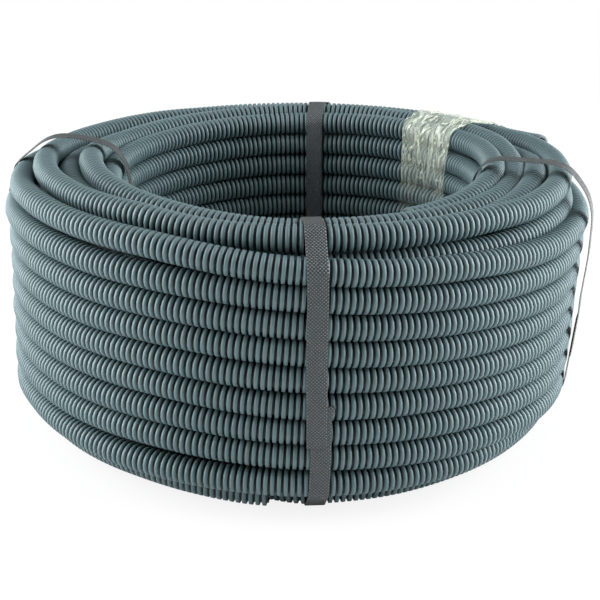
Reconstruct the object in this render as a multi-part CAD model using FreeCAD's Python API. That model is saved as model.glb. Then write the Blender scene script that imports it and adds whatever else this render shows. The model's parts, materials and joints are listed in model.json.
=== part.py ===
import FreeCAD, Part
import math
import os

# A coil of pliable corrugated conduit, as it is sold: one 50 m length wound in five
# layers of nine to eleven rows, held by four straps and, at the back right, a wrap of
# clear film.
# Millimetres. The coil's axis is Z, the floor is Z = 0, and the front faces -Y.
# Angles are in degrees, counted from +X towards +Y.

# The conduit
conduit_od = 16.0           # over the ridges of the corrugated wall
conduit_bore = 10.7         # clear way through it
end_bore_depth = 25.0       # how far each cut end is hollowed out

# The winding
bore_radius = 119.0         # inside the innermost turns
row_pitch = 16.2            # each row of a layer lies on the one below
layer_pitch = 14.8          # each layer sinks into the grooves of the layer inside it
nested_layers = 4           # counted from the inside
row_count = 11              # in every second nested layer; the others have one less
outer_row_count = 9         # a fifth layer stands crest on crest round them, off the floor

# Where the conduit starts and stops
top_turn_start_angle = 29.5 # the free upper end leaves the outermost layer's top turn here
tail_stop_angle = 265.0     # the lower cut end, at the bottom of the coil
tail_resume_angle = 269.0   # where the next turn takes its place
free_end_length = 30.0      # the upper end springs straight out of the winding
free_end_rise_angle = 3.0   # and climbs like this

FULL_TURN = 360.0

# How the turns run. Heights are in rows, from the coil's top down to a turn's centre line.
# The outermost layer is wound with two strands side by side, which come down two rows a turn:
# an angle, the highest row's height there and the distance between rows.
outer_run = [(top_turn_start_angle, 1.05, 0.917), (60, 1.12, 0.935), (90, 1.22, 0.953), (140, 1.2, 1.0),
             (180, 1.1, 1.03), (193, 1.03, 1.053), (208, 0.85, 1.071), (240, 1.03, 1.061),
             (270, 1.6, 1.013), (302, 2.08, 0.965), (330, 2.48, 0.923), (347, 2.6, 0.918),
             (top_turn_start_angle + FULL_TURN, 2.884, 0.917)]
# The top turns of the other layers lie lower at the right and the back: an angle, and the
# heights of the four layers' top turns, from the inside
top_run = [(top_turn_start_angle, 0.65, 1.2, 1.6, 1.12), (60, 1.0, 1.0, 1.65, 1.3), (90, 1.1, 0.9, 1.7, 1.3),
           (130, 1.25, 1.03, 1.65, 1.1), (165, 1.2, 0.95, 1.45, 0.9), (193, 1.0, 0.6, 1.12, 0.56),
           (210, 1.05, 0.7, 1.1, 0.52), (240, 1.15, 0.9, 1.2, 0.5), (255, 1.2, 1.07, 1.3, 0.72),
           (270, 1.25, 1.16, 1.4, 0.78), (300, 1.3, 1.2, 1.4, 0.86), (325, 1.15, 1.3, 1.45, 0.88),
           (345, 0.95, 1.4, 1.6, 0.98), (370, 0.7, 1.35, 1.6, 0.98),
           (top_turn_start_angle + FULL_TURN, 0.65, 1.2, 1.6, 1.12)]
# The outermost layer's lowest turn sinks to the floor and ends there, at the tail: an angle,
# its height, how far in it has moved, and how far the turn on the floor has given way to it
tail_run = [(top_turn_start_angle, 9.303, 0.0, 0.0), (90, 9.75, 0.3, 0.1), (140, 10.3, 0.8, 0.8),
            (193, 10.5, 1.0, 1.0), (tail_stop_angle, 10.5, 0.95, 1.0)]
# The turn above it moves in after it: an angle and how far in it is
tuck_run = [(tail_resume_angle, 0.0), (302, 0.29), (316, 0.6), (345, 0.97),
            (top_turn_start_angle + FULL_TURN, 1.0)]
# The second strand starts in the layer inside and comes out: an angle, its height and how
# far out it has moved
second_run = [(tail_resume_angle, 1.75, 0.0), (300, 1.88, 0.1), (325, 1.95, 0.15), (345, 1.96, 0.25),
              (358, 1.96, 0.72), (372, 1.965, 1.0), (top_turn_start_angle + FULL_TURN, 1.967, 1.0)]
section_step_angle = 12.0   # between the sections that the winding is drawn through

# The straps
strap_width = 12.0
strap_thickness = 0.6
strap_clearance = 0.3       # between the strap and the turns it lies on
strap_angles = {"strap_front": 273.5, "strap_right": 342.0,
                "strap_back": 84.0, "strap_left": 180.0}
shoulder_slack = 4.5        # the right strap stands off the outer wall
shoulder_rows = 2           # and most so this many rows down
crown_slack = 4.0           # the left strap stands off the top
lap_bottom = 48.0           # height of the welded lap on the outer wall
lap_length = 27.0
lap_shift = 2.5             # the two ends don't lie quite on each other

# The film
film_start_angle = 31.0
film_stop_angle = 53.0
film_thickness = 0.4
film_clearance = 0.3

# Places and sizes that follow from these
AXIS = FreeCAD.Vector(0, 0, 1)
turn_half = row_pitch / 2
coil_floor = strap_thickness + strap_clearance
outer_layer = nested_layers
tail_layer = outer_layer - 1
groove_depth = turn_half * math.tan(math.radians(30))   # on the walls, as on a six-sided turn
flat_half = turn_half * math.tan(math.radians(22.5))    # at the ends, as on an eight-sided turn
groove_width = 0.3          # of the bottom of a groove that was a flat


def turn_centre(layer, row):
    """Radius and height of a turn's centre line."""
    nested = min(layer, nested_layers - 1)
    radius = bore_radius + turn_half + nested * layer_pitch + (layer - nested) * row_pitch
    if layer == outer_layer:
        lift = row_pitch
    else:
        lift = 0.0 if layer % 2 else row_pitch / 2
    return radius, coil_floor + turn_half + lift + row * row_pitch


def rows_in(layer):
    """How many rows a layer has."""
    return outer_row_count if layer == outer_layer else row_count - (0 if layer % 2 else 1)


def inner_wall():
    """The crests and grooves of the innermost layer, going down."""
    points = []
    for row in reversed(range(rows_in(0))):
        radius, height = turn_centre(0, row)
        crest = radius - turn_half
        points.append((crest, height))
        if row:
            points.append((crest + groove_depth, height - turn_half))
    return points


def between(keys, angle):
    """The values between keys, on a smooth line that doesn't swing past any of them."""
    last = len(keys) - 1
    at = min(max(angle, keys[0][0]), keys[last][0])
    here = max(k for k in range(last) if keys[k][0] <= at)

    def slope(k, column):
        if k in (0, last):
            return 0.0
        before = (keys[k][column] - keys[k - 1][column]) / (keys[k][0] - keys[k - 1][0])
        after = (keys[k + 1][column] - keys[k][column]) / (keys[k + 1][0] - keys[k][0])
        return 2 * before * after / (before + after) if before * after > 0 else 0.0

    span = keys[here + 1][0] - keys[here][0]
    t = (at - keys[here][0]) / span
    return [keys[here][column] * (1 + 2 * t) * (1 - t) ** 2
            + keys[here + 1][column] * t * t * (3 - 2 * t)
            + slope(here, column) * span * t * (1 - t) ** 2
            - slope(here + 1, column) * span * t * t * (1 - t)
            for column in range(1, len(keys[0]))]


def level(rows_down):
    """A height above the floor, from rows below the coil's top."""
    return coil_floor + (row_count - rows_down) * row_pitch


def share(first, second, part):
    """A point part of the way from one to another."""
    return tuple(a + (b - a) * part for a, b in zip(first, second))


def outer_turns(angle, lowest):
    """The outermost layer's turns at an angle, going up from the lowest one that is wanted."""
    radius = turn_centre(outer_layer, 0)[0]
    top, spacing = between(outer_run, angle)
    return [(radius, level(top + row * spacing)) for row in reversed(range(lowest + 1))]


def outer_wall(turns):
    """Crests going up the outer wall, with a groove between each two."""
    points = []
    for radius, height in turns:
        crest = radius + turn_half
        if points:
            low_crest, low_height = points[-1]
            points.append((min(low_crest, crest) - groove_depth, (low_height + height) / 2))
        points.append((crest, height))
    return points


def top_flat(radius, height):
    """The flat on top of a turn."""
    return [(radius + flat_half, height + turn_half), (radius - flat_half, height + turn_half)]


def top_side(angle):
    """The top turns of the four nested layers, going inwards, and the inner wall."""
    heights = [level(rows_down) for rows_down in between(top_run, angle)]
    radii = [turn_centre(layer, 0)[0] for layer in range(nested_layers)]
    points = [(radii[tail_layer] + turn_half, heights[tail_layer])]
    for radius, height in reversed(list(zip(radii, heights))):
        points += top_flat(radius, height)
    return points + inner_wall()


def underside(layers):
    """The underside of the layers, going outwards. Every second one stands on the floor."""
    points = []
    for layer in range(layers):
        radius, height = turn_centre(layer, 0)
        bottom = height - turn_half
        if layer % 2:
            points += [(radius - flat_half, bottom), (radius + flat_half, bottom)]
        else:
            points.append((radius, bottom))
    return points


def round_point(turn, slope_angle):
    """A point on a turn's round outside, so many degrees up from its outer side."""
    slope = math.radians(slope_angle)
    return turn[0] + turn_half * math.cos(slope), turn[1] + turn_half * math.sin(slope)


def nook():
    """The hollow over the turn on the floor, where the lowest outer turn comes in."""
    floor_turn = turn_centre(tail_layer, 0)
    return floor_turn[0] + turn_half, (floor_turn[1] + level(tail_run[0][1])) / 2


def section_with_tail(angle):
    """The winding's section from the free upper end to the tail's cut end."""
    outer_radius, outer_rows = turn_centre(outer_layer, 0)[0], outer_row_count - 1
    floor_turn = turn_centre(tail_layer, 0)
    rows_down, moved_in, given_way = between(tail_run, angle)
    tail = (outer_radius + (floor_turn[0] - outer_radius) * moved_in, level(rows_down))
    corner = share(round_point(floor_turn, 0), round_point(floor_turn, -37), given_way)
    valley = share(nook(), round_point(floor_turn, -17), given_way)
    turns = outer_turns(angle, outer_rows)
    return (underside(nested_layers) + [corner, valley] + outer_wall([tail] + turns)
            + top_flat(*turns[-1]) + top_side(angle))


def section_without_tail(angle):
    """The section in the gap between the tail and the turn that takes its place."""
    beside = turn_centre(tail_layer - 1, 0)
    turns = outer_turns(angle, outer_row_count - 1)
    lowest_radius, lowest_height = turns[0]
    return (underside(tail_layer) + [(beside[0] + turn_half, beside[1])]
            + [(lowest_radius + flat_half, lowest_height - turn_half)] + outer_wall(turns)
            + top_flat(*turns[-1]) + top_side(angle))


def section_with_second(angle):
    """The section from there on, where the second strand comes out of the layer inside."""
    outer_radius, floor_turn = turn_centre(outer_layer, 0)[0], turn_centre(tail_layer, 0)
    turns = outer_turns(angle, outer_row_count - 1)
    tucked_in, = between(tuck_run, angle)
    turns[0] = share(turns[0], (floor_turn[0], nook()[1]), tucked_in)
    rows_down, moved_out = between(second_run, angle)
    second = (floor_turn[0] + (outer_radius - floor_turn[0]) * moved_out, level(rows_down))
    crest = (second[0] + turn_half, second[1])
    flat_out, flat_in = top_flat(*second)
    corner = share(share(crest, flat_in, 0.5), flat_out, moved_out)

    # As it comes out, the flat that it covers narrows to a groove
    groove = (outer_radius + turn_half - groove_depth, (turns[-1][1] + second[1]) / 2)
    outer_side = (groove[0] + groove_width, groove[1] - groove_width)
    covered_out, covered_in = top_flat(*turns[-1])
    covered = [share(covered_out, outer_side, moved_out), share(covered_in, groove, moved_out)]
    return (underside(nested_layers) + outer_wall([floor_turn] + turns) + covered
            + [crest, corner, flat_in] + top_side(angle))


def face_through(points):
    """A face in the XZ plane through points given as radius and height."""
    corners = [FreeCAD.Vector(radius, 0, height) for radius, height in points]
    return Part.Face(Part.makePolygon(corners + corners[:1]))


def swept(face, start, stop):
    """Turn a face in the XZ plane round the coil's axis from one angle to another."""
    placed = face.copy()
    placed.rotate(FreeCAD.Vector(), AXIS, start)
    return placed.revolve(FreeCAD.Vector(), AXIS, stop - start)


def winding(section, start, stop):
    """The winding from one angle to another, drawn smoothly through its sections."""
    steps = max(2, round((stop - start) / section_step_angle))
    angles = [start + (stop - start) * k / steps for k in range(steps + 1)]
    rings = [[at_angle(point, angle) for point in section(angle)] for angle in angles]
    rails = []
    for points in zip(*rings):
        rail = Part.BSplineCurve()
        rail.interpolate(list(points))
        rails.append(rail.toShape())
    same_way = 1
    faces = [Part.makeRuledSurface(rail, following, same_way)
             for rail, following in zip(rails, rails[1:] + rails[:1])]
    faces += [Part.Face(Part.makePolygon(ring + ring[:1])) for ring in (rings[0], rings[-1])]
    skin = Part.makeCompound(faces)
    skin.sewShape()
    solid = Part.Solid(skin.Shells[0])
    if solid.Volume < 0:
        solid.reverse()
    return solid


def at_angle(point, angle):
    """A point given as radius and height, at an angle round the coil."""
    turned = math.radians(angle)
    return FreeCAD.Vector(point[0] * math.cos(turned), point[0] * math.sin(turned), point[1])


def along_turn(angle):
    """The direction of a turn at an angle, towards larger angles."""
    turned = math.radians(angle)
    return FreeCAD.Vector(-math.sin(turned), math.cos(turned), 0)


def conduit_coil():
    """The whole winding, and both of the conduit's cut ends."""
    sectors = [winding(*sector) for sector in SECTORS]
    coil = sectors[0].fuse(sectors[1:])

    # The free upper end is round and hollow. It starts inside the turn that it belongs to.
    start = at_angle(outer_turns(top_turn_start_angle, 0)[0], top_turn_start_angle)
    ahead = -along_turn(top_turn_start_angle) + AXIS * math.tan(math.radians(free_end_rise_angle))
    ahead.normalize()
    coil = coil.fuse(Part.makeCylinder(conduit_od / 2, free_end_length, start, ahead))
    mouth = start + ahead * free_end_length
    coil = coil.cut(Part.makeCylinder(conduit_bore / 2, end_bore_depth, mouth, -ahead))

    # The lower cut end is hollow too
    tail = at_angle(turn_centre(tail_layer, 0), tail_stop_angle)
    back = -along_turn(tail_stop_angle)
    return coil.cut(Part.makeCylinder(conduit_bore / 2, end_bore_depth, tail, back))


def turns_right(first, second, third):
    """Whether three points turn clockwise, or lie in line."""
    across = (second[0] - first[0]) * (third[1] - first[1])
    return across - (second[1] - first[1]) * (third[0] - first[0]) <= 1e-6


def taut_line(points):
    """The corners of a band pulled tight round points, anticlockwise."""
    ordered = sorted(set((round(x, 6), round(z, 6)) for x, z in points))

    def half(sequence):
        chain = []
        for point in sequence:
            while len(chain) > 1 and turns_right(chain[-2], chain[-1], point):
                chain.pop()
            chain.append(point)
        return chain[:-1]

    return half(ordered) + half(reversed(ordered))


def band_face(corners, clearance, thickness):
    """The section of a band drawn round corners, with a clearance inside it."""
    mitred = 2
    taut = Part.makePolygon([FreeCAD.Vector(x, 0, z) for x, z in corners + corners[:1]])
    inner = Part.Face(taut.makeOffset2D(clearance, mitred))
    outer = Part.Face(taut.makeOffset2D(clearance + thickness, mitred))
    return outer.cut(inner).Faces[0]


def corners_between(start, stop):
    """The corners of several sections from one angle to another."""
    found = []
    for angle in (start, (start + stop) / 2, stop):
        turned = (angle - top_turn_start_angle) % FULL_TURN + top_turn_start_angle
        section = next(section for section, first, last in SECTORS if first <= turned <= last)
        found += section(turned)
    return found


def strap_layer(taut, clearance, shift):
    """One layer of strap round a taut line, shifted sideways."""
    band = band_face(taut, clearance, strap_thickness)
    band.translate(FreeCAD.Vector(0, shift - strap_width / 2, 0))
    return band.extrude(FreeCAD.Vector(0, strap_width, 0))


def strap(angle, slack_point):
    """One strap: a closed band round the winding, and its welded lap on the outer wall."""
    half_width = math.degrees((strap_width / 2 + lap_shift) / bore_radius)
    outline = corners_between(angle - half_width, angle + half_width)
    wall = max(x for x, z in outline)
    top = max(z for x, z in outline)
    if slack_point:
        outward, up = slack_point
        outline.append((wall + outward, top + up))
    taut = taut_line(outline)
    loop = strap_layer(taut, strap_clearance, 0)
    over = strap_layer(taut, strap_clearance + strap_thickness, lap_shift)
    lap_zone = Part.makeBox(row_pitch, 2 * strap_width, lap_length,
                            FreeCAD.Vector(wall, -strap_width, lap_bottom))
    loop = loop.fuse(over.common(lap_zone))
    loop.rotate(FreeCAD.Vector(), AXIS, angle)
    return loop


def film_wrap():
    """The film, wound flat round the winding."""
    around = taut_line(corners_between(film_start_angle, film_stop_angle))
    return swept(band_face(around, film_clearance, film_thickness), film_start_angle, film_stop_angle)


def export(name, shape):
    """Write one node, which is one sound solid."""
    assert len(shape.Solids) == 1 and shape.Solids[0].isValid(), name + " isn't one sound solid"
    shape.Solids[0].exportStep("parts/" + name + ".step")
    print(name, "volume", round(shape.Volume), "mm3")


# The parts of the winding, each with its own kind of section
SECTORS = [(section_with_tail, top_turn_start_angle, tail_stop_angle),
           (section_without_tail, tail_stop_angle, tail_resume_angle),
           (section_with_second, tail_resume_angle, top_turn_start_angle + FULL_TURN)]

# The point that a slack strap is drawn out to, from the outer wall and from the top
slack_points = {"strap_right": (shoulder_slack, -shoulder_rows * row_pitch),
                "strap_left": (-row_pitch, crown_slack)}

os.makedirs("parts", exist_ok=True)
export("conduit_coil", conduit_coil())
for strap_name, strap_angle in strap_angles.items():
    export(strap_name, strap(strap_angle, slack_points.get(strap_name)))
export("film_wrap", film_wrap())
turns = [(layer, row) for layer in range(outer_layer + 1) for row in range(rows_in(layer))]
length = sum(2 * math.pi * turn_centre(layer, row)[0] for layer, row in turns)
print("conduit in the coil, m:", round(length / 1000, 1))
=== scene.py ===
# %% [markdown]
# # A coil of corrugated conduit
# Fifty metres of ribbed plastic conduit lie in a coil, tied with four straps and a wrap of
# clear film. The CAD frame gives the places and sizes, and its solids stay underneath for the
# physics. This script dresses them: every visible turn gets its ribs, and the straps and the
# film get their own shapes and finishes.

# %% Load the frame
import json
import math

import bmesh
import bpy
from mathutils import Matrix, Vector, noise

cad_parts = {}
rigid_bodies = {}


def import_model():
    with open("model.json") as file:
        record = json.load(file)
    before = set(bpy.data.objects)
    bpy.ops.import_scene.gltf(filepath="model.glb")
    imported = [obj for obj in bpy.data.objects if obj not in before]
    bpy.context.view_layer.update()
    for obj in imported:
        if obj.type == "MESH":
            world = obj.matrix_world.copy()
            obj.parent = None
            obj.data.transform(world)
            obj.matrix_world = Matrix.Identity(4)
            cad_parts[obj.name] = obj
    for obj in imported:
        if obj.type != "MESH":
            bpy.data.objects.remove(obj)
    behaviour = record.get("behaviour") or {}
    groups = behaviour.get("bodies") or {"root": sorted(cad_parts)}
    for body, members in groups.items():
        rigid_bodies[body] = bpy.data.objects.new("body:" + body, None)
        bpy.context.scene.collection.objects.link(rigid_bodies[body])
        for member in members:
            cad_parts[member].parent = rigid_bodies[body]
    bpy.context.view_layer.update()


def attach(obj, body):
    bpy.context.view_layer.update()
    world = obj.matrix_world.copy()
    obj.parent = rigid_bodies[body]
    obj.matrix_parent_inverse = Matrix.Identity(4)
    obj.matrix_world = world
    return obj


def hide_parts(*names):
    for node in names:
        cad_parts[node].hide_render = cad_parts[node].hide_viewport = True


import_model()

# %% [markdown]
# The turns are easiest to describe in their own measure: angles round the axis, and radii and
# depths counted in rows of the coil. One row is 16.2 mm, and depth is counted down from the top.
# Angles are in degrees from +X towards +Y, so the right is at 0 and the front at 270.

# %% Sizes of the conduit and the coil
ROW = 0.0162                # height of one row, m
TOP = 0.1791                # height of the coil's top, m
RIDGE_RADIUS = 0.0080       # over the ribs
GROOVE_RADIUS = 0.0062      # between the ribs
RIB_PITCH = 0.00382


def place(angle, radius, depth):
    """A point in metres, from an angle in degrees and a radius and depth in rows."""
    turned = math.radians(angle)
    reach = radius * ROW
    return Vector((reach * math.cos(turned), reach * math.sin(turned), TOP + depth * ROW))


print("the front of the lowest row is at", place(270, 11.56, -9.72))

# %% [markdown]
# A turn is given by a few keys: an angle, with the radius and the depth there. A real turn bends
# evenly from one key to the next, so a smooth curve joins them. A Blender curve through the same
# points would swing past them here and there and cut into the neighbouring turns, so this curve
# is one that never does.

# %% The smooth line between keys
def smooth_keys(keys, angle):
    """Radius and depth between the keys, on a curve that doesn't swing past them."""
    last = len(keys) - 1
    at = min(max(angle, keys[0][0]), keys[-1][0])
    i = 0
    while i < last - 1 and at > keys[i + 1][0]:
        i += 1
    found = []
    for column in (1, 2):
        def slope(k):
            if k <= 0 or k >= last:
                return 0.0
            before = (keys[k][column] - keys[k - 1][column]) / (keys[k][0] - keys[k - 1][0])
            after = (keys[k + 1][column] - keys[k][column]) / (keys[k + 1][0] - keys[k][0])
            if before * after <= 0:
                return 0.0
            # The harmonic mean stays near the flatter side, so the curve never swings out
            return 2 * before * after / (before + after)
        span = keys[i + 1][0] - keys[i][0]
        t = (at - keys[i][0]) / span
        a, b = keys[i][column], keys[i + 1][column]
        found.append(a * (1 + 2 * t) * (1 - t) ** 2 + b * t * t * (3 - 2 * t)
                     + slope(i) * span * t * (1 - t) ** 2 - slope(i + 1) * span * t * t * (1 - t))
    return found


print("between two keys:", smooth_keys([(0, 11.0, -1.0), (90, 11.5, -2.0)], 45))

# %% [markdown]
# Nobody winds fifty metres of conduit quite evenly. A little noise, smooth along the turn, lets
# each one wander by less than a millimetre. The lowest turns lie on the straps that pass
# under the coil, which keep them just off the floor.

# %% A turn's points
OUT_WANDER, OUT_SPAN = 0.05, 37     # rows, and degrees of the turn
DOWN_WANDER, DOWN_SPAN = 0.04, 31
PATH_STEP = 1.5                     # degrees between points
LOWEST = RIDGE_RADIUS + 0.0006      # a turn on the floor lies on a strap 0.6 mm thick


def wandered(keys, seed, angle):
    """The turn's middle at an angle, with its wandering."""
    radius, depth = smooth_keys(keys, angle)
    radius += noise.noise(Vector((angle / OUT_SPAN, seed, 0))) * OUT_WANDER
    depth += noise.noise(Vector((angle / DOWN_SPAN, seed, 5))) * DOWN_WANDER
    point = place(angle, radius, depth)
    point.z = max(point.z, LOWEST)
    return point


def path_points(keys, seed):
    """Points along the turn's middle, from its first key to its last."""
    start, stop = keys[0][0], keys[-1][0]
    count = max(2, round((stop - start) / PATH_STEP))
    return [wandered(keys, seed, start + (stop - start) * k / count) for k in range(count + 1)]


heights = [point.z for point in path_points([(0, 10, -3), (180, 10, -3), (360, 10, -3)], 9)]
print("a level turn wanders by", round((max(heights) - min(heights)) * 1000, 2), "mm up and down")

# %% [markdown]
# Now the outermost layer. The photograph shows nine of its rows at the left, the front and the
# right, so each row has its depth at seven angles there, and its radius at the left and the
# right end of them. The part behind joins one row to the next but one: two strands lie side by
# side and come down two rows a turn.

# %% The rows that show
FRONT_ANGLES = (193, 208, 240, 270, 302, 330, 347)
FRONT_RADIUS = 11.56
ROW_DEPTHS = {
    2: (-1.16, -0.90, -1.03, -1.63, -2.07, -2.46, -2.47),
    3: (-2.17, -2.12, -2.20, -2.60, -3.10, -3.48, -3.55),
    4: (-3.30, -3.20, -3.22, -3.60, -4.10, -4.47, -4.54),
    5: (-4.32, -4.20, -4.22, -4.60, -5.05, -5.40, -5.45),
    6: (-5.32, -5.22, -5.24, -5.60, -6.02, -6.34, -6.40),
    7: (-6.33, -6.27, -6.27, -6.62, -6.98, -7.28, -7.32),
    8: (-7.38, -7.32, -7.30, -7.62, -7.95, -8.22, -8.28),
    9: (-8.42, -8.36, -8.32, -8.62, -8.95, -9.20, -9.28),
    10: (-9.50, -9.48, -9.58, -9.72, -9.83, -9.86, -9.88)}
LEFT_RADII = {2: 11.37, 3: 11.62, 4: 11.54, 5: 11.57, 6: 11.60, 7: 11.63, 8: 11.66, 9: 11.70,
              10: 11.72}
RIGHT_RADII = {2: 11.60, 3: 11.45, 4: 11.39, 5: 11.33, 6: 11.29, 7: 11.26, 8: 11.22, 9: 11.15,
               10: 11.1}
print(len(ROW_DEPTHS), "rows show")


# %% From rows to keys
def row_keys(row, turn):
    """The keys of one row across the front, for a given turn of its strand."""
    left, right = LEFT_RADII[row], RIGHT_RADII[row]
    radii = (left, 0.4 * left + 0.6 * FRONT_RADIUS, 11.57, FRONT_RADIUS, 11.51,
             0.5 * (11.46 + right), right)
    return [(angle + 360 * turn, radius, depth)
            for angle, radius, depth in zip(FRONT_ANGLES, radii, ROW_DEPTHS[row])]


BACK_RADIUS = 11.60
BACK_TOP = -3.25            # depth at the back of the strand that leaves row 2


def behind(row, turn):
    """The keys round the back, from a row to the next but one."""
    start, down = ROW_DEPTHS[row][-1], row - 2
    return [(366 + 360 * turn, 11.58, start + 0.03), (390 + 360 * turn, BACK_RADIUS, start - 0.15),
            (420 + 360 * turn, BACK_RADIUS, start - 0.5),
            (450 + 360 * turn, 11.58, BACK_TOP - 0.93 * down),
            (500 + 360 * turn, BACK_RADIUS, BACK_TOP - 0.99 * down)]


print("row 2 at the front:", row_keys(2, 0)[3])

# %% [markdown]
# The first strand starts at the upper cut end, at the back right, runs over the back and takes
# every second row from row 2. At the bottom it slips into the layer inside, because the other
# strand's end takes its place.

# %% The first strand
first_strand = [(22.6, 11.9, -1.38), (27, 11.78, -1.44), (34, 11.66, -1.5), (60, 11.6, -1.45),
                (90, 11.55, -1.42), (130, 11.5, -1.4), (150, 11.45, -1.38), (166, 11.35, -1.44),
                (180, 11.35, -1.27)]
for turn, row in enumerate((2, 4, 6, 8)):
    first_strand += row_keys(row, turn) + behind(row, turn)
first_strand += row_keys(10, 4)[:4] + [(1742, 11.38, -9.83), (1756, 11.05, -9.8),
                                      (1785, 10.66, -9.6), (1820, 10.6, -9.46)]
print("first strand:", first_strand[-1][0] - first_strand[0][0], "degrees long")

# %% [markdown]
# The second strand starts in the layer inside. It comes out under the film at the back right
# and takes the rows between. Its end is the lower cut end, at the bottom of the front.

# %% The second strand
second_strand = [(140, 10.4, -1.95), (165, 10.4, -1.9), (193, 10.36, -1.58), (208, 10.42, -1.52),
                 (228, 10.5, -1.52), (240, 10.55, -1.56), (254, 10.6, -1.74), (270, 10.6, -1.79),
                 (288, 10.6, -1.84), (298, 10.62, -1.87), (311, 10.68, -2.0), (325, 10.78, -1.98),
                 (345, 10.89, -1.92), (370, 10.9, -1.95), (390, 10.95, -2.0), (405, 11.15, -2.02),
                 (420, 11.4, -2.2), (435, 11.55, -2.3), (450, 11.58, -2.34), (500, 11.6, -2.3)]
for turn, row in enumerate((3, 5, 7)):
    second_strand += row_keys(row, turn + 1) + behind(row, turn + 1)
second_strand += row_keys(9, 4)
second_strand += [(1840, 11.4, -9.55), (1890, 11.12, -9.9), (1940, 10.95, -10.2),
                  (1993, 10.95, -10.22), (2015, 10.98, -10.22), (2035, 10.97, -10.22),
                  (2050, 10.95, -10.34), (2064.5, 10.97, -10.47)]
print("second strand:", second_strand[-1][0] - second_strand[0][0], "degrees long")

# %% [markdown]
# The other layers show only at the top. Their top turns, b, c and d from the outside, rise and
# sink as they lie on each other, and spread apart at the left and the right.

# %% The top turns
TOP_TURNS = {
    "b": [(-15, 10.8, -0.96), (0, 10.76, -0.96), (10, 10.66, -0.97), (26, 10.6, -1.13),
          (50, 10.5, -1.28), (90, 10.5, -1.3), (130, 10.48, -1.08), (165, 10.45, -0.9),
          (193, 10.42, -0.57), (208, 10.42, -0.52), (228, 10.5, -0.51), (238, 10.55, -0.51),
          (246, 10.58, -0.62), (254, 10.6, -0.71), (270, 10.6, -0.78), (290, 10.6, -0.85),
          (309, 10.62, -0.88), (325, 10.72, -1.0), (345, 10.8, -0.96)],
    "c": [(-15, 9.8, -1.02), (0, 9.8, -1.12), (10, 9.75, -1.3), (30, 9.65, -1.55),
          (90, 9.62, -1.7), (150, 9.58, -1.5), (193, 9.42, -1.1), (210, 9.45, -1.1),
          (240, 9.6, -1.2), (270, 9.67, -1.38), (300, 9.7, -1.4), (325, 9.76, -1.25),
          (345, 9.8, -1.02)],
    "d": [(-15, 8.96, -1.16), (0, 8.94, -0.98), (15, 8.9, -0.82), (30, 8.84, -0.8),
          (60, 8.78, -0.84), (90, 8.76, -0.84), (120, 8.72, -0.97), (150, 8.66, -1.0),
          (175, 8.6, -0.78), (193, 8.58, -0.55), (208, 8.64, -0.6), (227, 8.72, -0.78),
          (239, 8.76, -0.9), (250, 8.76, -1.02), (270, 8.76, -1.16), (300, 8.8, -1.18),
          (325, 8.93, -1.22), (345, 8.96, -1.16)]}
print(len(TOP_TURNS), "top turns beside the outermost")

# %% [markdown]
# The innermost layer is one long screw down the inner wall. Under the coil lie the turns that
# it stands on, and one more shows in the gap above the lowest row. In the middle of the coil
# only the turns' shade shows in the gaps, so plain rings do there.

# %% The inner wall, the underside and the core
WALL_RADIUS = 7.84
inner_wall = [(-60, 8.1, -1.3), (-42, 8.15, -1.2), (-25, 8.14, -1.04), (-10, 8.13, -0.95),
              (10, 8.1, -0.88), (30, 8.0, -0.92), (60, 7.86, -1.0)]
inner_wall += [(angle, WALL_RADIUS, -1.1 - (angle - 90) / 360) for angle in range(90, 3240, 90)]
inner_wall += [(3240, WALL_RADIUS, -9.87), (3330, WALL_RADIUS, -9.98), (3500, WALL_RADIUS, -10.0),
               (3560, 7.86, -10.0)]

UNDERSIDE = {
    "b": [(254, 10.05, -10.52), (264, 10.4, -10.52), (272, 10.72, -10.52), (284, 10.72, -10.5),
          (305, 10.54, -10.48), (330, 10.5, -10.48), (440, 10.55, -10.5), (492, 10.3, -10.5)],
    "c": [(-80, 9.67, -9.98), (280, 9.67, -9.98)],
    "d": [(-80, 8.76, -10.5), (280, 8.76, -10.5)]}
behind_gap = [(186, 10.66, -8.92), (288, 10.66, -8.98)]
CORE = [(radius, top - row)
        for radius, top, rows in ((10.6, -2.95, 6), (9.67, -2.55, 7), (8.76, -2.15, 8))
        for row in range(rows)]
print(len(CORE), "plain rings in the core")

# %% [markdown]
# Node trees are built with the same few steps again and again, so small helpers take them: one
# fills a socket, one adds a node and fills its inputs by name, and one does sums. Trees can also
# be drawn by hand in Blender's node editor, but a script can be run again with other sizes.

# %% Helpers for node trees
def feed(tree, value, socket):
    """Link an output to the socket, or set the socket to a number."""
    if isinstance(value, bpy.types.NodeSocket):
        tree.links.new(value, socket)
    else:
        socket.default_value = value


def add_node(tree, kind, **inputs):
    """A new node with some of its inputs filled."""
    node = tree.nodes.new(kind)
    for name, value in inputs.items():
        name = name.replace("_", " ")
        feed(tree, value, next(s for s in node.inputs if s.name == name and s.enabled))
    return node


def maths(tree, operation, *values):
    """The result of a sum, as an output that other nodes can use."""
    node = tree.nodes.new("ShaderNodeMath")
    node.operation = operation
    for socket, value in zip(node.inputs, values):
        feed(tree, value, socket)
    return node.outputs[0]


# %% [markdown]
# The conduit's wall is pressed into rings, so that it bends without a kink: broad ribs with
# narrow grooves between them. One Geometry Nodes tree makes every ribbed turn. It cuts the turn's
# line into four points for each rib, moves two of them to the rib's top and two to its foot, and
# sweeps a circle along them. A screw modifier or an array along a curve could make the ribs too,
# but a tree follows lines of any shape, and one number changes thousands of ribs.

# %% The tree's inputs
RIDGE_SHARE = 0.50          # of the pitch, for the flat top of a rib
FOOT_SHARE = 0.78           # and for its foot
SIDES = 14                  # of the circle that is swept


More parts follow.
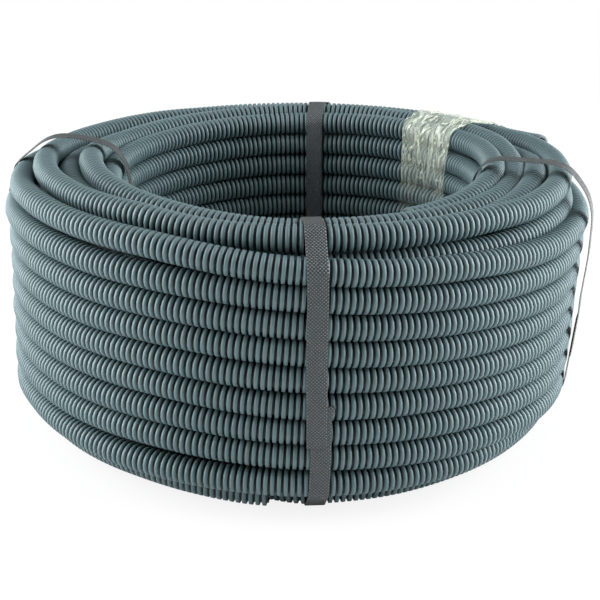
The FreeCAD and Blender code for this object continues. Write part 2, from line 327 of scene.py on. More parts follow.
def tree_with_inputs():
    """An empty tree with a named input for each size."""
    tree = bpy.data.node_groups.new("ribbed_conduit", "GeometryNodeTree")
    sockets = [("Geometry", "Geometry", None), ("Ridge Radius", "Float", RIDGE_RADIUS),
               ("Groove Radius", "Float", GROOVE_RADIUS), ("Rib Pitch", "Float", RIB_PITCH),
               ("Ridge Share", "Float", RIDGE_SHARE), ("Foot Share", "Float", FOOT_SHARE),
               ("Sides", "Int", SIDES), ("Material", "Material", None)]
    for name, kind, value in sockets:
        socket = tree.interface.new_socket(name, in_out="INPUT", socket_type="NodeSocket" + kind)
        if value is not None:
            socket.default_value = value
    tree.interface.new_socket("Geometry", in_out="OUTPUT", socket_type="NodeSocketGeometry")
    return tree


RIBBED = tree_with_inputs()
print("tree inputs:", [s.name for s in RIBBED.interface.items_tree if s.in_out == "INPUT"])


# %% Four points for each rib
def rib_points(tree, given):
    """The cut line, whether each point is on a rib's top, and how far it moves along."""
    length = add_node(tree, "GeometryNodeCurveLength", Curve=given["Geometry"]).outputs["Length"]
    ribs = maths(tree, "ROUND", maths(tree, "DIVIDE", length, given["Rib Pitch"]))
    cut = add_node(tree, "GeometryNodeResampleCurve", Curve=given["Geometry"],
                   Count=maths(tree, "MULTIPLY_ADD", ribs, 4.0, 1.0))
    # Of each four points the second and third are the rib's top, the others its foot
    index = tree.nodes.new("GeometryNodeInputIndex").outputs[0]
    off_middle = maths(tree, "SUBTRACT", maths(tree, "FLOORED_MODULO", index, 4.0), 1.5)
    on_top = maths(tree, "LESS_THAN", maths(tree, "ABSOLUTE", off_middle), 1.0)
    # Even spacing gives the top a quarter of the pitch and the foot three quarters
    top_shift = maths(tree, "SUBTRACT", given["Ridge Share"], 0.25)
    foot_shift = maths(tree, "DIVIDE", maths(tree, "SUBTRACT", given["Foot Share"], 0.75), 3.0)
    share = maths(tree, "MULTIPLY_ADD", on_top, maths(tree, "SUBTRACT", top_shift, foot_shift),
                  foot_shift)
    shift = maths(tree, "MULTIPLY", maths(tree, "MULTIPLY", off_middle, share), given["Rib Pitch"])
    return cut.outputs[0], on_top, shift


# %% Sweep the wall along them
def finish_tree(tree):
    """Add every node, from the curve that comes in to the mesh that goes out."""
    given = tree.nodes.new("NodeGroupInput").outputs
    cut, on_top, shift = rib_points(tree, given)
    depth = maths(tree, "SUBTRACT", given["Ridge Radius"], given["Groove Radius"])
    radius = maths(tree, "MULTIPLY_ADD", on_top, depth, given["Groove Radius"])
    along = tree.nodes.new("ShaderNodeVectorMath")
    along.operation = "SCALE"
    feed(tree, tree.nodes.new("GeometryNodeInputTangent").outputs[0], along.inputs[0])
    feed(tree, shift, along.inputs["Scale"])
    moved = add_node(tree, "GeometryNodeSetPosition", Geometry=cut, Offset=along.outputs[0])
    # The mark of each rib's top, which the finish uses to paint shade into the grooves
    marked = tree.nodes.new("GeometryNodeStoreNamedAttribute")
    feed(tree, moved.outputs[0], marked.inputs["Geometry"])
    feed(tree, "rib", marked.inputs["Name"])
    feed(tree, on_top, marked.inputs["Value"])
    sized = add_node(tree, "GeometryNodeSetCurveRadius", Curve=marked.outputs[0], Radius=radius)
    ring = add_node(tree, "GeometryNodeCurvePrimitiveCircle", Resolution=given["Sides"], Radius=1.0)
    tube = add_node(tree, "GeometryNodeCurveToMesh", Curve=sized.outputs[0],
                    Profile_Curve=ring.outputs[0], Fill_Caps=True)
    if "Scale" in tube.inputs:      # newer versions of the node take the radius here
        feed(tree, radius, tube.inputs["Scale"])
    smooth = add_node(tree, "GeometryNodeSetShadeSmooth", Geometry=tube.outputs[0])
    real = add_node(tree, "GeometryNodeRealizeInstances", Geometry=smooth.outputs[0])
    finished = add_node(tree, "GeometryNodeSetMaterial", Geometry=real.outputs[0],
                        Material=given["Material"])
    feed(tree, finished.outputs[0], tree.nodes.new("NodeGroupOutput").inputs["Geometry"])


finish_tree(RIBBED)
print("the tree has", len(RIBBED.nodes), "nodes")

# %% [markdown]
# The finishes are procedural, made of nodes and no image, so they stay sharp at any distance and
# fit any length of conduit. All three start from Blender's Principled shader. A colour ramp turns
# a value into a colour, noise gives the value, and a bump catches the light.

# %% Helpers for the finishes
def new_material(name, colour, roughness, **sockets):
    """A material, with its node tree and its Principled shader."""
    material = bpy.data.materials.new(name)
    material.use_nodes = True
    shader = material.node_tree.nodes["Principled BSDF"]
    shader.inputs["Base Color"].default_value = (*colour, 1)
    shader.inputs["Roughness"].default_value = roughness
    for socket, value in sockets.items():
        shader.inputs[socket.replace("_", " ")].default_value = value
    return material, material.node_tree, shader


def noise_of(tree, scale):
    """Noise that is fixed to the object."""
    where = tree.nodes.new("ShaderNodeTexCoord").outputs["Object"]
    return add_node(tree, "ShaderNodeTexNoise", Scale=scale, Vector=where).outputs[0]


def ramp_of(tree, value, *stops):
    """A colour for each value, blended between the stops."""
    ramp = tree.nodes.new("ShaderNodeValToRGB")
    for k, (position, colour) in enumerate(stops):
        stop = ramp.color_ramp.elements[k] if k < 2 else ramp.color_ramp.elements.new(position)
        stop.position, stop.color = position, (*colour, 1)
    feed(tree, value, ramp.inputs[0])
    return ramp.outputs[0]


def bump_of(tree, shader, height, strength, distance):
    """Let a pattern tilt the light as if it stood up from the surface."""
    bump = add_node(tree, "ShaderNodeBump", Strength=strength, Distance=distance, Height=height)
    feed(tree, bump.outputs[0], shader.inputs["Normal"])


# %% [markdown]
# The conduit is blue-grey plastic with a satin sheen. Its grooves get painted shade: the tree has
# marked each point that is on a rib's top, so a ramp paints the others nearly black. An ambient
# occlusion node could find the grooves too, but it looks at the whole scene, and the mark stays
# with the mesh. Slow noise lets the colour wander along the coil.

# %% The conduit's plastic
def conduit_material():
    """Satin plastic, with painted shade between the ribs."""
    material, tree, shader = new_material("conduit_plastic", (0.10, 0.155, 0.168), 0.5,
                                          Specular_Tint=(0.8, 0.95, 1.0, 1))
    rib = tree.nodes.new("ShaderNodeAttribute")
    rib.attribute_name = "rib"
    # Painted shade: every point off a rib's top, in the grooves, is coloured nearly black
    painted_groove_shade = ramp_of(tree, rib.outputs["Fac"],
                     (0.34, (0.007, 0.012, 0.014)), (0.97, (0.107, 0.163, 0.176)))
    by_place = ramp_of(tree, noise_of(tree, 9.0), (0.3, (0.84, 0.87, 0.87)), (0.7, (1.0, 1.0, 1.0)))
    mixed = tree.nodes.new("ShaderNodeMix")
    mixed.data_type, mixed.blend_type = "RGBA", "MULTIPLY"
    mixed.inputs["Factor"].default_value = 1.0
    colours = [socket for socket in mixed.inputs if socket.type == "RGBA"]
    feed(tree, painted_groove_shade, colours[0])
    feed(tree, by_place, colours[1])
    feed(tree, next(s for s in mixed.outputs if s.type == "RGBA"), shader.inputs["Base Color"])
    bump_of(tree, shader, noise_of(tree, 900.0), 0.15, 0.0002)
    return material


CONDUIT = conduit_material()
print("finish:", CONDUIT.name)

# %% [markdown]
# The straps are flat bands of dark plastic, embossed with small slanting ridges that look woven.
# Two waves that cross at a right angle make the pattern. It follows the band's own UV map, because
# on object coordinates it would smear where the band turns over the edge of the coil.

# %% The straps' plastic
WEAVE_SCALE = 215.0


def strap_material():
    """Dark plastic with an embossed weave, with painted glints on its raised parts."""
    material, tree, shader = new_material("strap_plastic", (0.08, 0.08, 0.08), 0.36,
                                          Specular_Tint=(0.86, 0.96, 1.0, 1))
    where = tree.nodes.new("ShaderNodeUVMap")
    where.uv_map = "strap"
    waves = []
    for turned in (45, -45):
        mapping = add_node(tree, "ShaderNodeMapping", Vector=where.outputs[0])
        mapping.inputs["Rotation"].default_value[2] = math.radians(turned)
        waves.append(add_node(tree, "ShaderNodeTexWave", Scale=WEAVE_SCALE,
                              Vector=mapping.outputs[0]).outputs["Fac"])
    woven = maths(tree, "MULTIPLY", *waves)
    # Painted glints on the weave's raised parts and painted shade in its low parts
    feed(tree, ramp_of(tree, woven, (0.05, (0.026, 0.031, 0.033)), (0.6, (0.125, 0.138, 0.14))),
         shader.inputs["Base Color"])
    bump_of(tree, shader, woven, 0.8, 0.0006)
    return material


STRAP = strap_material()
print("finish:", STRAP.name)

# %% [markdown]
# The film is clear and nearly colourless, so one sees it by its creases, which catch the light
# as pale lines. Stretched noise makes them, with the film's own UV map. The pale lines are
# painted highlights in the material's alpha, and the same pattern is its bump. A glass shader with
# real refraction would be truer for thick plastic, but film this thin bends no light. Towards the
# top of the coil the film is drawn more opaque, as painted highlight, and further down it grows
# clear.

# %% The clear film
CREASE_SLANT = math.radians(24)
CREASE_SCALE = (105, 34, 1)
CLEAR_HEIGHT, TOP_HIGHLIGHT_HEIGHT = 0.115, 0.176


def film_material():
    """Clear plastic that shows mostly by painted highlights on its creases and towards the top."""
    material, tree, shader = new_material("clear_film", (0.83, 0.92, 0.77), 0.18)
    where = tree.nodes.new("ShaderNodeUVMap")
    where.uv_map = "film"
    mapping = add_node(tree, "ShaderNodeMapping", Vector=where.outputs[0])
    mapping.inputs["Rotation"].default_value[2] = CREASE_SLANT
    mapping.inputs["Scale"].default_value = CREASE_SCALE
    creased = add_node(tree, "ShaderNodeTexNoise", Scale=1.0, Detail=3.0, Distortion=1.2,
                       Vector=mapping.outputs[0])
    # Painted highlights: the creases are drawn as pale, nearly opaque lines
    lines = ramp_of(tree, creased.outputs[0], (0.41, (0.22, 0.22, 0.22)), (0.5, (1.0, 1.0, 1.0)),
                    (0.55, (0.36, 0.36, 0.36)))
    # Painted highlight: the film grows more opaque towards the top of the coil
    spot = add_node(tree, "ShaderNodeSeparateXYZ",
                    Vector=tree.nodes.new("ShaderNodeTexCoord").outputs["Object"])
    painted_top_highlight = tree.nodes.new("ShaderNodeMapRange")
    for socket, value in (("From Min", CLEAR_HEIGHT), ("From Max", TOP_HIGHLIGHT_HEIGHT), ("To Min", 0.1),
                          ("To Max", 0.92), ("Value", spot.outputs["Z"])):
        feed(tree, value, painted_top_highlight.inputs[socket])
    feed(tree, maths(tree, "MULTIPLY", lines, painted_top_highlight.outputs[0]), shader.inputs["Alpha"])
    bump_of(tree, shader, lines, 0.7, 0.0015)
    return material


FILM = film_material()
print("finish:", FILM.name)

# %% [markdown]
# Every visible mesh rides on a body and has its finish, and the CAD solid that it stands for is
# hidden. The coil has no moving part, so everything rides on the root.

# %% Put a mesh into the scene
def triangles(mesh):
    """How many triangles the mesh's faces make."""
    return sum(len(face.vertices) - 2 for face in mesh.polygons)


def mesh_piece(name, mesh, node):
    """An object for the mesh, at the origin, that stands for a CAD node."""
    piece = bpy.data.objects.new(name, mesh)
    bpy.context.scene.collection.objects.link(piece)
    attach(piece, "root")
    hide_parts(node)
    return piece


# %% [markdown]
# To make a turn, its points become a curve, the curve gets the tree as a modifier, and the result
# is kept as a plain mesh. The tree's inputs are set by their identifiers before Blender works the
# modifier out, and the curve is thrown away afterwards.

# %% Run the tree on a line
INPUTS = {s.name: s.identifier for s in RIBBED.interface.items_tree if s.in_out == "INPUT"}


def tube_mesh(name, points, **inputs):
    """Run the tree on a line and keep its plain mesh."""
    line = bpy.data.curves.new(name + "_line", "CURVE")
    line.dimensions = "3D"
    spline = line.splines.new("POLY")
    spline.points.add(len(points) - 1)
    for point, spot in zip(points, spline.points):
        spot.co = (*point, 1)
    carrier = bpy.data.objects.new(name + "_line", line)
    bpy.context.scene.collection.objects.link(carrier)
    modifier = carrier.modifiers.new("ribs", "NODES")
    modifier.node_group = RIBBED
    modifier[INPUTS["Material"]] = CONDUIT
    for socket, value in inputs.items():
        modifier[INPUTS[socket.replace("_", " ")]] = value
    shown = carrier.evaluated_get(bpy.context.evaluated_depsgraph_get())
    mesh = bpy.data.meshes.new_from_object(shown)
    mesh.name = name
    bpy.data.objects.remove(carrier)
    bpy.data.curves.remove(line)
    return mesh


print("inputs by name:", INPUTS)

# %% [markdown]
# At its two ends the conduit is cut with a knife, and one looks into it: the inside has the same
# rings as the outside. The tree closes a tube with a flat cap, so the cap is taken off, and a
# ribbed lining follows the tube's line inwards from its rim to a floor that lies in the dark. The
# lining and its floor carry no mark of a rib's top, so they take the painted groove shade.

# %% Cut ends
BORE_RADIUS = 0.0052        # the clear way inside
LINING_GROOVE = GROOVE_RADIUS - 0.0004
LINING_STEP = 0.0019        # half a rib
LINING_RINGS = 12


def lining(points):
    """The middle, direction and radius of each ring of the lining."""
    last, gone, rings = points[0], 0.0, []
    for k in range(LINING_RINGS):
        depth = LINING_STEP * k
        while (points[1] - last).length < depth - gone:
            gone += (points[1] - last).length
            last = points[1]
            points = points[1:]
        run = (points[1] - last).normalized()
        rings.append((last + run * (depth - gone), run, LINING_GROOVE if k % 2 else BORE_RADIUS))
    return rings


def open_end(mesh, points):
    """Turn the cap at the first of the points into a cut end that one can look into."""
    bm = bmesh.new()
    bm.from_mesh(mesh)
    caps = [face for face in bm.faces if len(face.verts) > 4]
    cap = min(caps, key=lambda face: (face.calc_center_median() - points[0]).length)
    ring = list(cap.verts)
    bm.faces.remove(cap)
    # Painted shade: the new lining and floor get no rib mark, so the finish colours them nearly
    # black
    for middle, run, radius in lining(points):
        fresh = []
        for vert in ring:
            arm = vert.co - middle
            arm = (arm - run * arm.dot(run)).normalized()
            fresh.append(bm.verts.new(middle + arm * radius))
        for i in range(len(ring)):
            j = (i + 1) % len(ring)
            bm.faces.new((ring[i], ring[j], fresh[j], fresh[i])).smooth = True
        ring = fresh
    bm.faces.new(ring)
    bmesh.ops.recalc_face_normals(bm, faces=bm.faces)
    bm.to_mesh(mesh)
    bm.free()


print("a lining is", LINING_STEP * (LINING_RINGS - 1), "m deep")

# %% [markdown]
# Now the conduit itself. On the real coil all turns are one length. Here each strand is a piece of
# its own, so that no mesh gets too heavy, and its two ends that aren't cut ends lie hidden
# between other turns.

# %% The strands of the outermost layer
def conduit(name, keys, seed, cut=None, **inputs):
    """One strand or turn, with its first or last end cut open if it has one that shows."""
    points = path_points(keys, seed)
    mesh = tube_mesh(name, points, **inputs)
    if cut:
        open_end(mesh, points if cut == "first" else points[::-1])
    print(name, triangles(mesh), "triangles")
    return mesh_piece(name, mesh, "conduit_coil")


conduit("outer_strand_one", first_strand, 1, cut="first")
conduit("outer_strand_two", second_strand, 2, cut="last")

# %% The turns inside
WALL_SPLIT = 1700           # the inner wall is made in two pieces


def split(keys, angle):
    """Cut a strand's keys in two at an angle."""
    middle = (angle, *smooth_keys(keys, angle))
    return ([key for key in keys if key[0] < angle] + [middle],
            [middle] + [key for key in keys if key[0] > angle])


for name, keys in TOP_TURNS.items():
    conduit("top_turn_" + name, keys, 3)
for name, keys in zip(("upper", "lower"), split(inner_wall, WALL_SPLIT)):
    conduit("inner_wall_" + name, keys, 4)
for name, keys in UNDERSIDE.items():
    conduit("under_turn_" + name, keys, 5)
conduit("turn_behind_gap", behind_gap, 6)

# %% [markdown]
# The turns in the middle of the real coil are ribbed too, but one sees only dark shapes between
# the others. So the rings of the core use the same tree with its radii made equal, which takes
# the ribs away and keeps them light.

# %% The core
CORE_RADIUS = 0.0076
CORE_PITCH = 0.06           # a long pitch, because a smooth ring needs few points
for k, (radius, depth) in enumerate(CORE):
    ring = [(0, radius, depth), (90, radius, depth), (360, radius, depth)]
    conduit(f"core_turn_{k}", ring, 6, Ridge_Radius=CORE_RADIUS, Groove_Radius=CORE_RADIUS,
            Rib_Pitch=CORE_PITCH)

# %% [markdown]
# A strap is a thin ribbon drawn round the turns at its place. Its line is found as a real strap
# finds it: the tight outline of all the turns there, drawn out to a few points where the
# photograph shows it slack, and then smoothed while the turns hold it off. First, all the turns
# at the strap's angle and the tight outline round them.

# %% The tight outline at an angle
STRAP_CLEARANCE = 0.0003
ALL_TURNS = [(first_strand, 1), (second_strand, 2), (inner_wall, 4),
             *((keys, 3) for keys in TOP_TURNS.values()),
             *((keys, 5) for keys in UNDERSIDE.values())]


def turns_at(angle):
    """Distance from the axis and height of every visible turn at an angle."""
    found = []
    for keys, seed in ALL_TURNS:
        at = angle + 360 * math.ceil((keys[0][0] - angle) / 360)
        while at <= keys[-1][0]:
            point = wandered(keys, seed, at)
            found.append(Vector((math.hypot(point.x, point.y), point.z)))
            at += 360
    return found


def taut_line(points):
    """The corners of a band pulled tight round points, anticlockwise."""
    ordered = sorted(set((round(x, 6), round(z, 6)) for x, z in points))

    def half(sequence):
        chain = []
        for point in sequence:
            while len(chain) > 1:
                (ax, az), (bx, bz) = chain[-2:]
                if (bx - ax) * (point[1] - az) - (bz - az) * (point[0] - ax) > 0:
                    break
                chain.pop()
            chain.append(point)
        return chain[:-1]

    return half(ordered) + half(reversed(ordered))


print("turns at the front:", len(turns_at(270)))

# %% [markdown]
# Then the smoothing. Each point moves to the mean of its neighbours, as a stiff band would bend,
# and comes out again wherever it has sunk into a turn.

# %% The line of a strap
LINE_SPACING = 0.002
CORNERS = 24                # of the circle that stands for a turn


def evenly(line, spacing):
    """The same closed line with its points evenly spaced."""
    closed = line + line[:1]
    lengths = [(b - a).length for a, b in zip(closed, closed[1:])]
    count = round(sum(lengths) / spacing)
    points, i, gone = [], 0, 0.0
    for k in range(count):
        want = sum(lengths) * k / count
        while gone + lengths[i] < want:
            gone += lengths[i]
            i += 1
        points.append(closed[i].lerp(closed[i + 1], (want - gone) / lengths[i]))
    return points


def strap_line(angle, slack=(), spacing=LINE_SPACING, smoothing=10):
    """A strap's inner line at an angle, as distance from the axis and height."""
    reach = RIDGE_RADIUS + STRAP_CLEARANCE
    turns = turns_at(angle)
    around = [(turn.x + reach * math.cos(a), turn.y + reach * math.sin(a))
              for turn in turns for a in (2 * math.pi * k / CORNERS for k in range(CORNERS))]
    around += [(radius * ROW, TOP + depth * ROW) for radius, depth in slack]
    line = evenly([Vector(corner) for corner in taut_line(around)], spacing)
    for _ in range(smoothing):
        line = [(line[k - 1] + point * 2 + line[(k + 1) % len(line)]) / 4
                for k, point in enumerate(line)]
        for k, point in enumerate(line):
            for turn in turns:
                away = point - turn
                if away.length < reach:
                    line[k] = turn + away.normalized() * reach
    return line


print("a taut strap at the front has", len(strap_line(270)), "points")

# %% [markdown]
# Each strap's two ends lap on the outer wall, where they are welded. The ribbon starts at the
# bottom of the lap, lies on the other end there, runs once round and ends under its own start,
# a little to one side. Its section is a flat plate with slightly rounded edges.

# %% The section of a strap
STRAP_WIDTH = 0.012
STRAP_THICKNESS = 0.0006
LAP_BOTTOM, LAP_TOP = 0.049, 0.077
LAP_SHIFT = 0.0026          # of the lower end to the side
LAP_CORNER = 0.0022         # and of its last corner
INNER_WALL = 0.16           # nearer to the axis than this is the inner wall
COLUMNS = (-0.5, -0.44, 0.0, 0.44, 0.5)
EDGE = 0.3                  # of the thickness, that the edges are thinner on each side


def fade(value):
    """From 0 to 1, with a soft start and end."""
    t = min(max(value, 0.0), 1.0)
    return t * t * (3 - 2 * t)


def strap_section(middle, across, normal):
    """Ten points round the strap."""
    def side(column, height, edge):
        level = edge if abs(column) == 0.5 else height
        return middle + across * (column * STRAP_WIDTH) + normal * STRAP_THICKNESS * level
    return ([side(c, 0, EDGE) for c in COLUMNS]
            + [side(c, 1, 1 - EDGE) for c in reversed(COLUMNS)])


print("the lap is", round(LAP_TOP - LAP_BOTTOM, 3), "m long")


# %% The run of a strap
LAP_LIFT = 1.3              # in thicknesses, of the upper end over the lower one
LIFT_STEPS, SHIFT_STEPS, CORNER_STEPS = 8, 30, 4
SWAY = 0.0006               # to and fro along the strap


def strap_run(line):
    """The line from the bottom of the lap once round and up the lap again, and its steps."""
    start = min(range(len(line)), key=lambda k: abs(line[k].y - LAP_BOTTOM)
                + (1 if line[k].x < INNER_WALL else 0))
    lap = round((LAP_TOP - LAP_BOTTOM) / LINE_SPACING)
    return line[start:] + line[:start] + line[start:start + lap], lap


def strap_rings(line, angle):
    """The points round the strap and the way gone, for each point of its run."""
    turned = math.radians(angle)
    outward = Vector((math.cos(turned), math.sin(turned), 0))
    across = Vector((-math.sin(turned), math.cos(turned), 0))
    up = Vector((0, 0, 1))
    run, lap = strap_run(line)
    rings, gone = [], 0.0
    for k, point in enumerate(run):
        ahead = (run[min(k + 1, len(run) - 1)] - run[max(k - 1, 0)]).normalized()
        normal = outward * ahead.y - up * ahead.x
        left = len(run) - 1 - k
        lift = STRAP_THICKNESS * LAP_LIFT * (1 - fade((k - lap) / LIFT_STEPS))
        side = LAP_SHIFT * (1 - fade((left - lap) / SHIFT_STEPS))
        side += SWAY * noise.noise(Vector((k / 30, angle, 0)))
        side += LAP_CORNER * (1 - fade(left / CORNER_STEPS))
        middle = outward * point.x + up * point.y + across * side + normal * lift
        rings.append((strap_section(middle, across, normal), gone))
        gone += (run[min(k + 1, len(run) - 1)] - point).length
    return rings


# %% Make a strap
def strap(name, line, angle, node):
    """A flat ribbon once round a line in the upright plane at an angle, with its lap."""
    bm = bmesh.new()
    uv = bm.loops.layers.uv.new("strap")
    u = COLUMNS + COLUMNS[::-1]
    rings = [([bm.verts.new(p) for p in ring], gone) for ring, gone in strap_rings(line, angle)]
    for (first, here), (second, there) in zip(rings, rings[1:]):
        for i in range(len(u)):
            j = (i + 1) % len(u)
            quad = bm.faces.new((first[i], first[j], second[j], second[i]))
            quad.smooth = True
            corners = ((u[i], here), (u[j], here), (u[j], there), (u[i], there))
            for loop, (column, gone) in zip(quad.loops, corners):
                loop[uv].uv = (column * STRAP_WIDTH, gone)
    bm.faces.new(rings[0][0])
    bm.faces.new(rings[-1][0])
    bmesh.ops.recalc_face_normals(bm, faces=bm.faces)
    mesh = bpy.data.meshes.new(name)
    bm.to_mesh(mesh)
    bm.free()
    mesh.materials.append(STRAP)
    print(name, "is", round(rings[-1][1], 3), "m long with its lap,", triangles(mesh), "triangles")
    return mesh_piece(name, mesh, node)


# %% [markdown]
# The coil has four straps. The front and back ones are taut. The right one stands off the outer
# wall and the left one off the top, at the places that these points give in rows.

# %% The four straps
RIGHT_SLACK = [(7.45, -1.05), (7.66, -0.48), (8.1, -0.13), (8.57, -0.08), (10.66, -0.08),
               (11.21, -0.25), (11.64, -0.74), (12.03, -1.28), (12.24, -2.0), (12.21, -3.71),
               (12.03, -5.18), (11.94, -6.2)]
LEFT_SLACK = [(11.31, -0.59), (11.12, -0.42), (10.6, 0.02), (10.08, 0.2), (9.75, 0.22),
              (8.42, 0.02), (7.81, -0.2), (7.45, -0.55), (7.22, -0.98), (7.1, -1.6)]
STRAPS = {"strap_front": (273.1, ()), "strap_right": (342, RIGHT_SLACK),
          "strap_back": (84, ()), "strap_left": (180, LEFT_SLACK)}
for name, (angle, slack) in STRAPS.items():
    strap(name + "_band", strap_line(angle, slack), angle, name)

# %% [markdown]
# The film is a clear sheet wound round the coil at the back right, a little askew, and pulled
# into creases. It could be simulated as cloth, but stretched film holds sharp folds that a
# simulation smooths away, so its creases are noise with sharp crests on the turns' outline. The
# outline is worked out every three degrees and blended between.

# %% The film's bed
FILM_ALONG, FILM_AROUND = 44, 150       # faces across the film and round the coil
SECTION_STEP = 3
FILM_SPAN = range(18, 70, SECTION_STEP)
FILM_MIDDLE = 42                        # degrees, one of the outlines


def film_outline(angle):
    """The coil's outline at an angle, started at the same place each time."""
    line = strap_line(angle, (), 0.004, 3)
    start = max(range(len(line)), key=lambda k: line[k].x + line[k].y * 0.2)
    line = line[start:] + line[:start]
    points = []
    for k in range(FILM_AROUND):
        at = len(line) * k / FILM_AROUND
        points.append(line[int(at)].lerp(line[(int(at) + 1) % len(line)], at % 1))
    return points


film_sections = {angle: film_outline(angle) for angle in FILM_SPAN}
print(len(film_sections), "outlines for the film")

# %% [markdown]
# The film's two edges run from the inner wall to the outer one at a slant and wander a little. Its
# points lie between those edges, lifted off the bed by the creases. Near the floor they aren't
# lifted, because the film is pressed flat there.

# %% The film's points
FILM_CENTRE = Vector((9.7 * ROW, 5.5 * ROW))    # of the coil's section
SLANT_START, SLANT_WIDTH = 7.4, 4.6             # rows from the axis
EDGE_WANDER = 1.6                               # degrees
BIG_CREASE, SMALL_CREASE = 0.0014, 0.0004
FILM_LIFT = 0.0003
PRESSED_BELOW = 0.004                           # height above the floor, m
FIRST_EDGE, LAST_EDGE = (26, 10), (49, 9)       # degrees inside, and how many more outside
CREST_SHARPNESS = 2.6


def crest(x, y, z):
    """Noise with sharp crests, from 0 to about 1."""
    return 1 - min(1.0, abs(noise.noise(Vector((x, y, z)))) * CREST_SHARPNESS)


def film_angle(i, k):
    """Where the film's line i lies, at point k round the coil."""
    slant = min(max((film_sections[FILM_MIDDLE][k].x / ROW - SLANT_START) / SLANT_WIDTH, 0), 1)
    edge = 0 if i < FILM_ALONG / 2 else 9       # two places in the noise, one for each edge
    wander = noise.noise(Vector((k * 0.12, edge, 8))) * EDGE_WANDER
    first, last = (inside + more * slant for inside, more in (FIRST_EDGE, LAST_EDGE))
    return first * (1 - i / FILM_ALONG) + last * i / FILM_ALONG + wander


def film_point(i, k):
    """A point of the film, on its bed and lifted by the creases."""
    angle = film_angle(i, k)
    low = int(angle // SECTION_STEP * SECTION_STEP)
    bed = film_sections[low][k].lerp(film_sections[low + SECTION_STEP][k],
                                     (angle - low) / SECTION_STEP)
    # Broad creases and finer ones that cross them, both steeper at the crest than a wave
    crumple = crest(angle / 6 + k * 0.04, k * 0.09, 2) ** 3 * BIG_CREASE
    crumple += crest(angle / 3, k * 0.16 - angle * 0.1, 5) ** 3 * SMALL_CREASE
    lift = FILM_LIFT + (crumple if bed.y > PRESSED_BELOW else 0)
    point = bed + (bed - FILM_CENTRE).normalized() * lift
    turned = math.radians(angle)
    return (point.x * math.cos(turned), point.x * math.sin(turned), max(point.y, FILM_LIFT))


print("the film starts at", round(film_angle(0, 0), 1), "degrees and ends at",
      round(film_angle(FILM_ALONG, 0), 1))

# %% Make the film
FILM_UV_STEP = (0.0014, 0.0034)         # the size of a face, for the creases' pattern


def film():
    """The whole sheet, once round the coil."""
    bm = bmesh.new()
    uv = bm.loops.layers.uv.new("film")
    rings = [[bm.verts.new(film_point(i, k)) for k in range(FILM_AROUND)]
             for i in range(FILM_ALONG + 1)]
    for i, (first, second) in enumerate(zip(rings, rings[1:])):
        for k in range(FILM_AROUND):
            j = (k + 1) % FILM_AROUND
            quad = bm.faces.new((first[k], first[j], second[j], second[k]))
            quad.smooth = True
            corners = ((i, k), (i, k + 1), (i + 1, k + 1), (i + 1, k))
            for loop, (across, around) in zip(quad.loops, corners):
                loop[uv].uv = (across * FILM_UV_STEP[0], around * FILM_UV_STEP[1])
    bmesh.ops.recalc_face_normals(bm, faces=bm.faces)
    mesh = bpy.data.meshes.new("film_wrap_sheet")
    bm.to_mesh(mesh)
    bm.free()
    mesh.materials.append(FILM)
    print("film", triangles(mesh), "triangles")
    return mesh_piece("film_wrap_sheet", mesh, "film_wrap")


film()

# %% [markdown]
# The coil stands on a white ground that shows no edge. A brighter lamp would whiten the floor, but
# bleach the coil too. So the floor is pale, takes shadows, and glows only for rays that come
# straight from the camera, wholly so further off, so that its far edge melts into the white.

# %% The floor
FLOOR_RADIUS = 6.0
FLOOR_DROP = 0.0004                     # below the coil, so that the two don't touch
NEAR_GLOW, FULL_GLOW = 0.4, 1.3         # distances from the coil's axis, m


def stage_material():
    """Pale paper, with a white glow that only the camera sees."""
    material, tree, shader = new_material("stage_white", (0.86, 0.86, 0.86), 0.9)
    where = tree.nodes.new("ShaderNodeTexCoord").outputs["Object"]
    reach = tree.nodes.new("ShaderNodeVectorMath")
    reach.operation = "LENGTH"
    feed(tree, where, reach.inputs[0])
    far = tree.nodes.new("ShaderNodeMapRange")
    for socket, value in (("From Min", NEAR_GLOW), ("From Max", FULL_GLOW), ("To Min", 0.86),
                          ("To Max", 1.0), ("Value", reach.outputs["Value"])):
        feed(tree, value, far.inputs[socket])
    camera_ray = tree.nodes.new("ShaderNodeLightPath").outputs["Is Camera Ray"]
    mix = tree.nodes.new("ShaderNodeMixShader")
    feed(tree, maths(tree, "MULTIPLY", camera_ray, far.outputs[0]), mix.inputs[0])
    feed(tree, shader.outputs[0], mix.inputs[1])
    feed(tree, tree.nodes.new("ShaderNodeEmission").outputs[0], mix.inputs[2])
    feed(tree, mix.outputs[0], tree.nodes["Material Output"].inputs[0])
    return material


bm = bmesh.new()
bmesh.ops.create_circle(bm, cap_ends=True, segments=64, radius=FLOOR_RADIUS)
floor_mesh = bpy.data.meshes.new("floor")
bm.to_mesh(floor_mesh)
bm.free()
floor_mesh.materials.append(stage_material())
floor = bpy.data.objects.new("floor", floor_mesh)
floor.location.z = -FLOOR_DROP
bpy.context.scene.collection.objects.link(floor)
print("floor:", FLOOR_RADIUS * 2, "m across")

# %% [markdown]
# The world behind the floor is white for the camera and for what one sees through clear film. For
# all other rays it is a weak grey light, which fills the shadows a little.

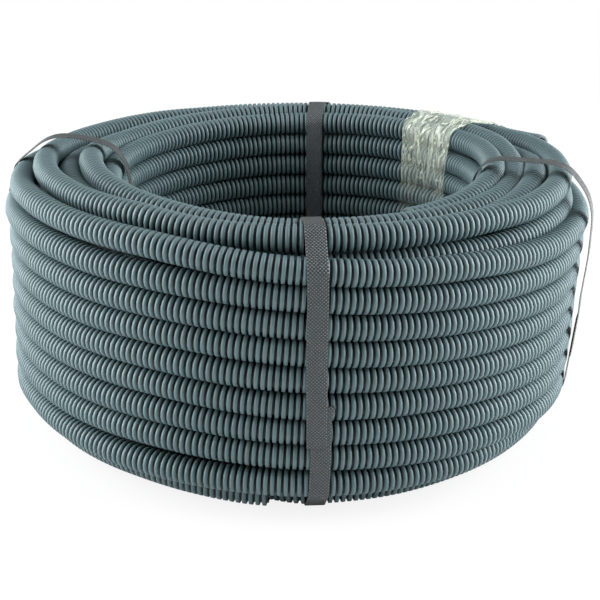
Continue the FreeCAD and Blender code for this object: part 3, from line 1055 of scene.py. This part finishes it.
# %% The world
FILL_LIGHT = 0.28
world = bpy.data.worlds.new("studio")
bpy.context.scene.world = world
world.use_nodes = True
sky = world.node_tree.nodes["Background"]
sky.inputs["Color"].default_value = (1, 1, 1, 1)
path = world.node_tree.nodes.new("ShaderNodeLightPath")
seen = maths(world.node_tree, "MAXIMUM", path.outputs["Is Camera Ray"],
             path.outputs["Is Transmission Ray"])
level = add_node(world.node_tree, "ShaderNodeMapRange", Value=seen, To_Min=FILL_LIGHT, To_Max=1.0)
feed(world.node_tree, level.outputs[0], sky.inputs["Strength"])
print("fill light:", FILL_LIGHT)

# %% [markdown]
# The photograph's coil is bright at its left and right and dark in front, with a soft sheen along
# the turns. So it had a large soft lamp on each side, and little light from above or from the
# camera. Area lamps make such soft light, and their size sets how soft it is.

# %% The lamps
COIL_MIDDLE = Vector((0, 0, 0.1))


def lamp(name, spot, size, power):
    """A large soft lamp that points at the coil."""
    data = bpy.data.lights.new(name, "AREA")
    data.shape = "RECTANGLE"
    data.size, data.size_y = size
    data.energy = power
    made = bpy.data.objects.new(name, data)
    made.location = spot
    made.rotation_euler = (COIL_MIDDLE - Vector(spot)).to_track_quat("-Z", "Y").to_euler()
    bpy.context.scene.collection.objects.link(made)
    print(name, "has", power, "W")


SIDE_POWER, TOP_POWER = 56, 8
lamp("lamp_left", (-1.4, 0.12, 0.55), (1.5, 1.4), SIDE_POWER)
lamp("lamp_right", (1.4, 0.12, 0.55), (1.5, 1.4), SIDE_POWER)
lamp("lamp_top", (0, -0.3, 1.8), (3.0, 2.4), TOP_POWER)

# %% [markdown]
# The camera's place and lens come from the photograph: they are the ones from which the ellipses
# of the coil's rim and the spacing of its rows come out as they are there.

# %% The camera
CAMERA_TILT = 68.86         # degrees up from looking straight down
camera_data = bpy.data.cameras.new("camera")
camera_data.lens = 75.6
camera_data.sensor_width = 36.0
camera_data.shift_x = 0.0033
camera = bpy.data.objects.new("camera", camera_data)
camera.location = (0, -0.8333, 0.3856)
camera.rotation_euler = (math.radians(CAMERA_TILT), 0, 0)
bpy.context.scene.collection.objects.link(camera)
bpy.context.scene.camera = camera
bpy.context.scene.view_settings.view_transform = "Standard"
print("camera at", camera.location[:])

# %% [markdown]
# Last, the triangles of every visible mesh are counted.

# %% Count the triangles
whole = sum(triangles(piece.data) for piece in bpy.data.objects
            if piece.type == "MESH" and not piece.hide_render)
print("triangles in all:", whole)
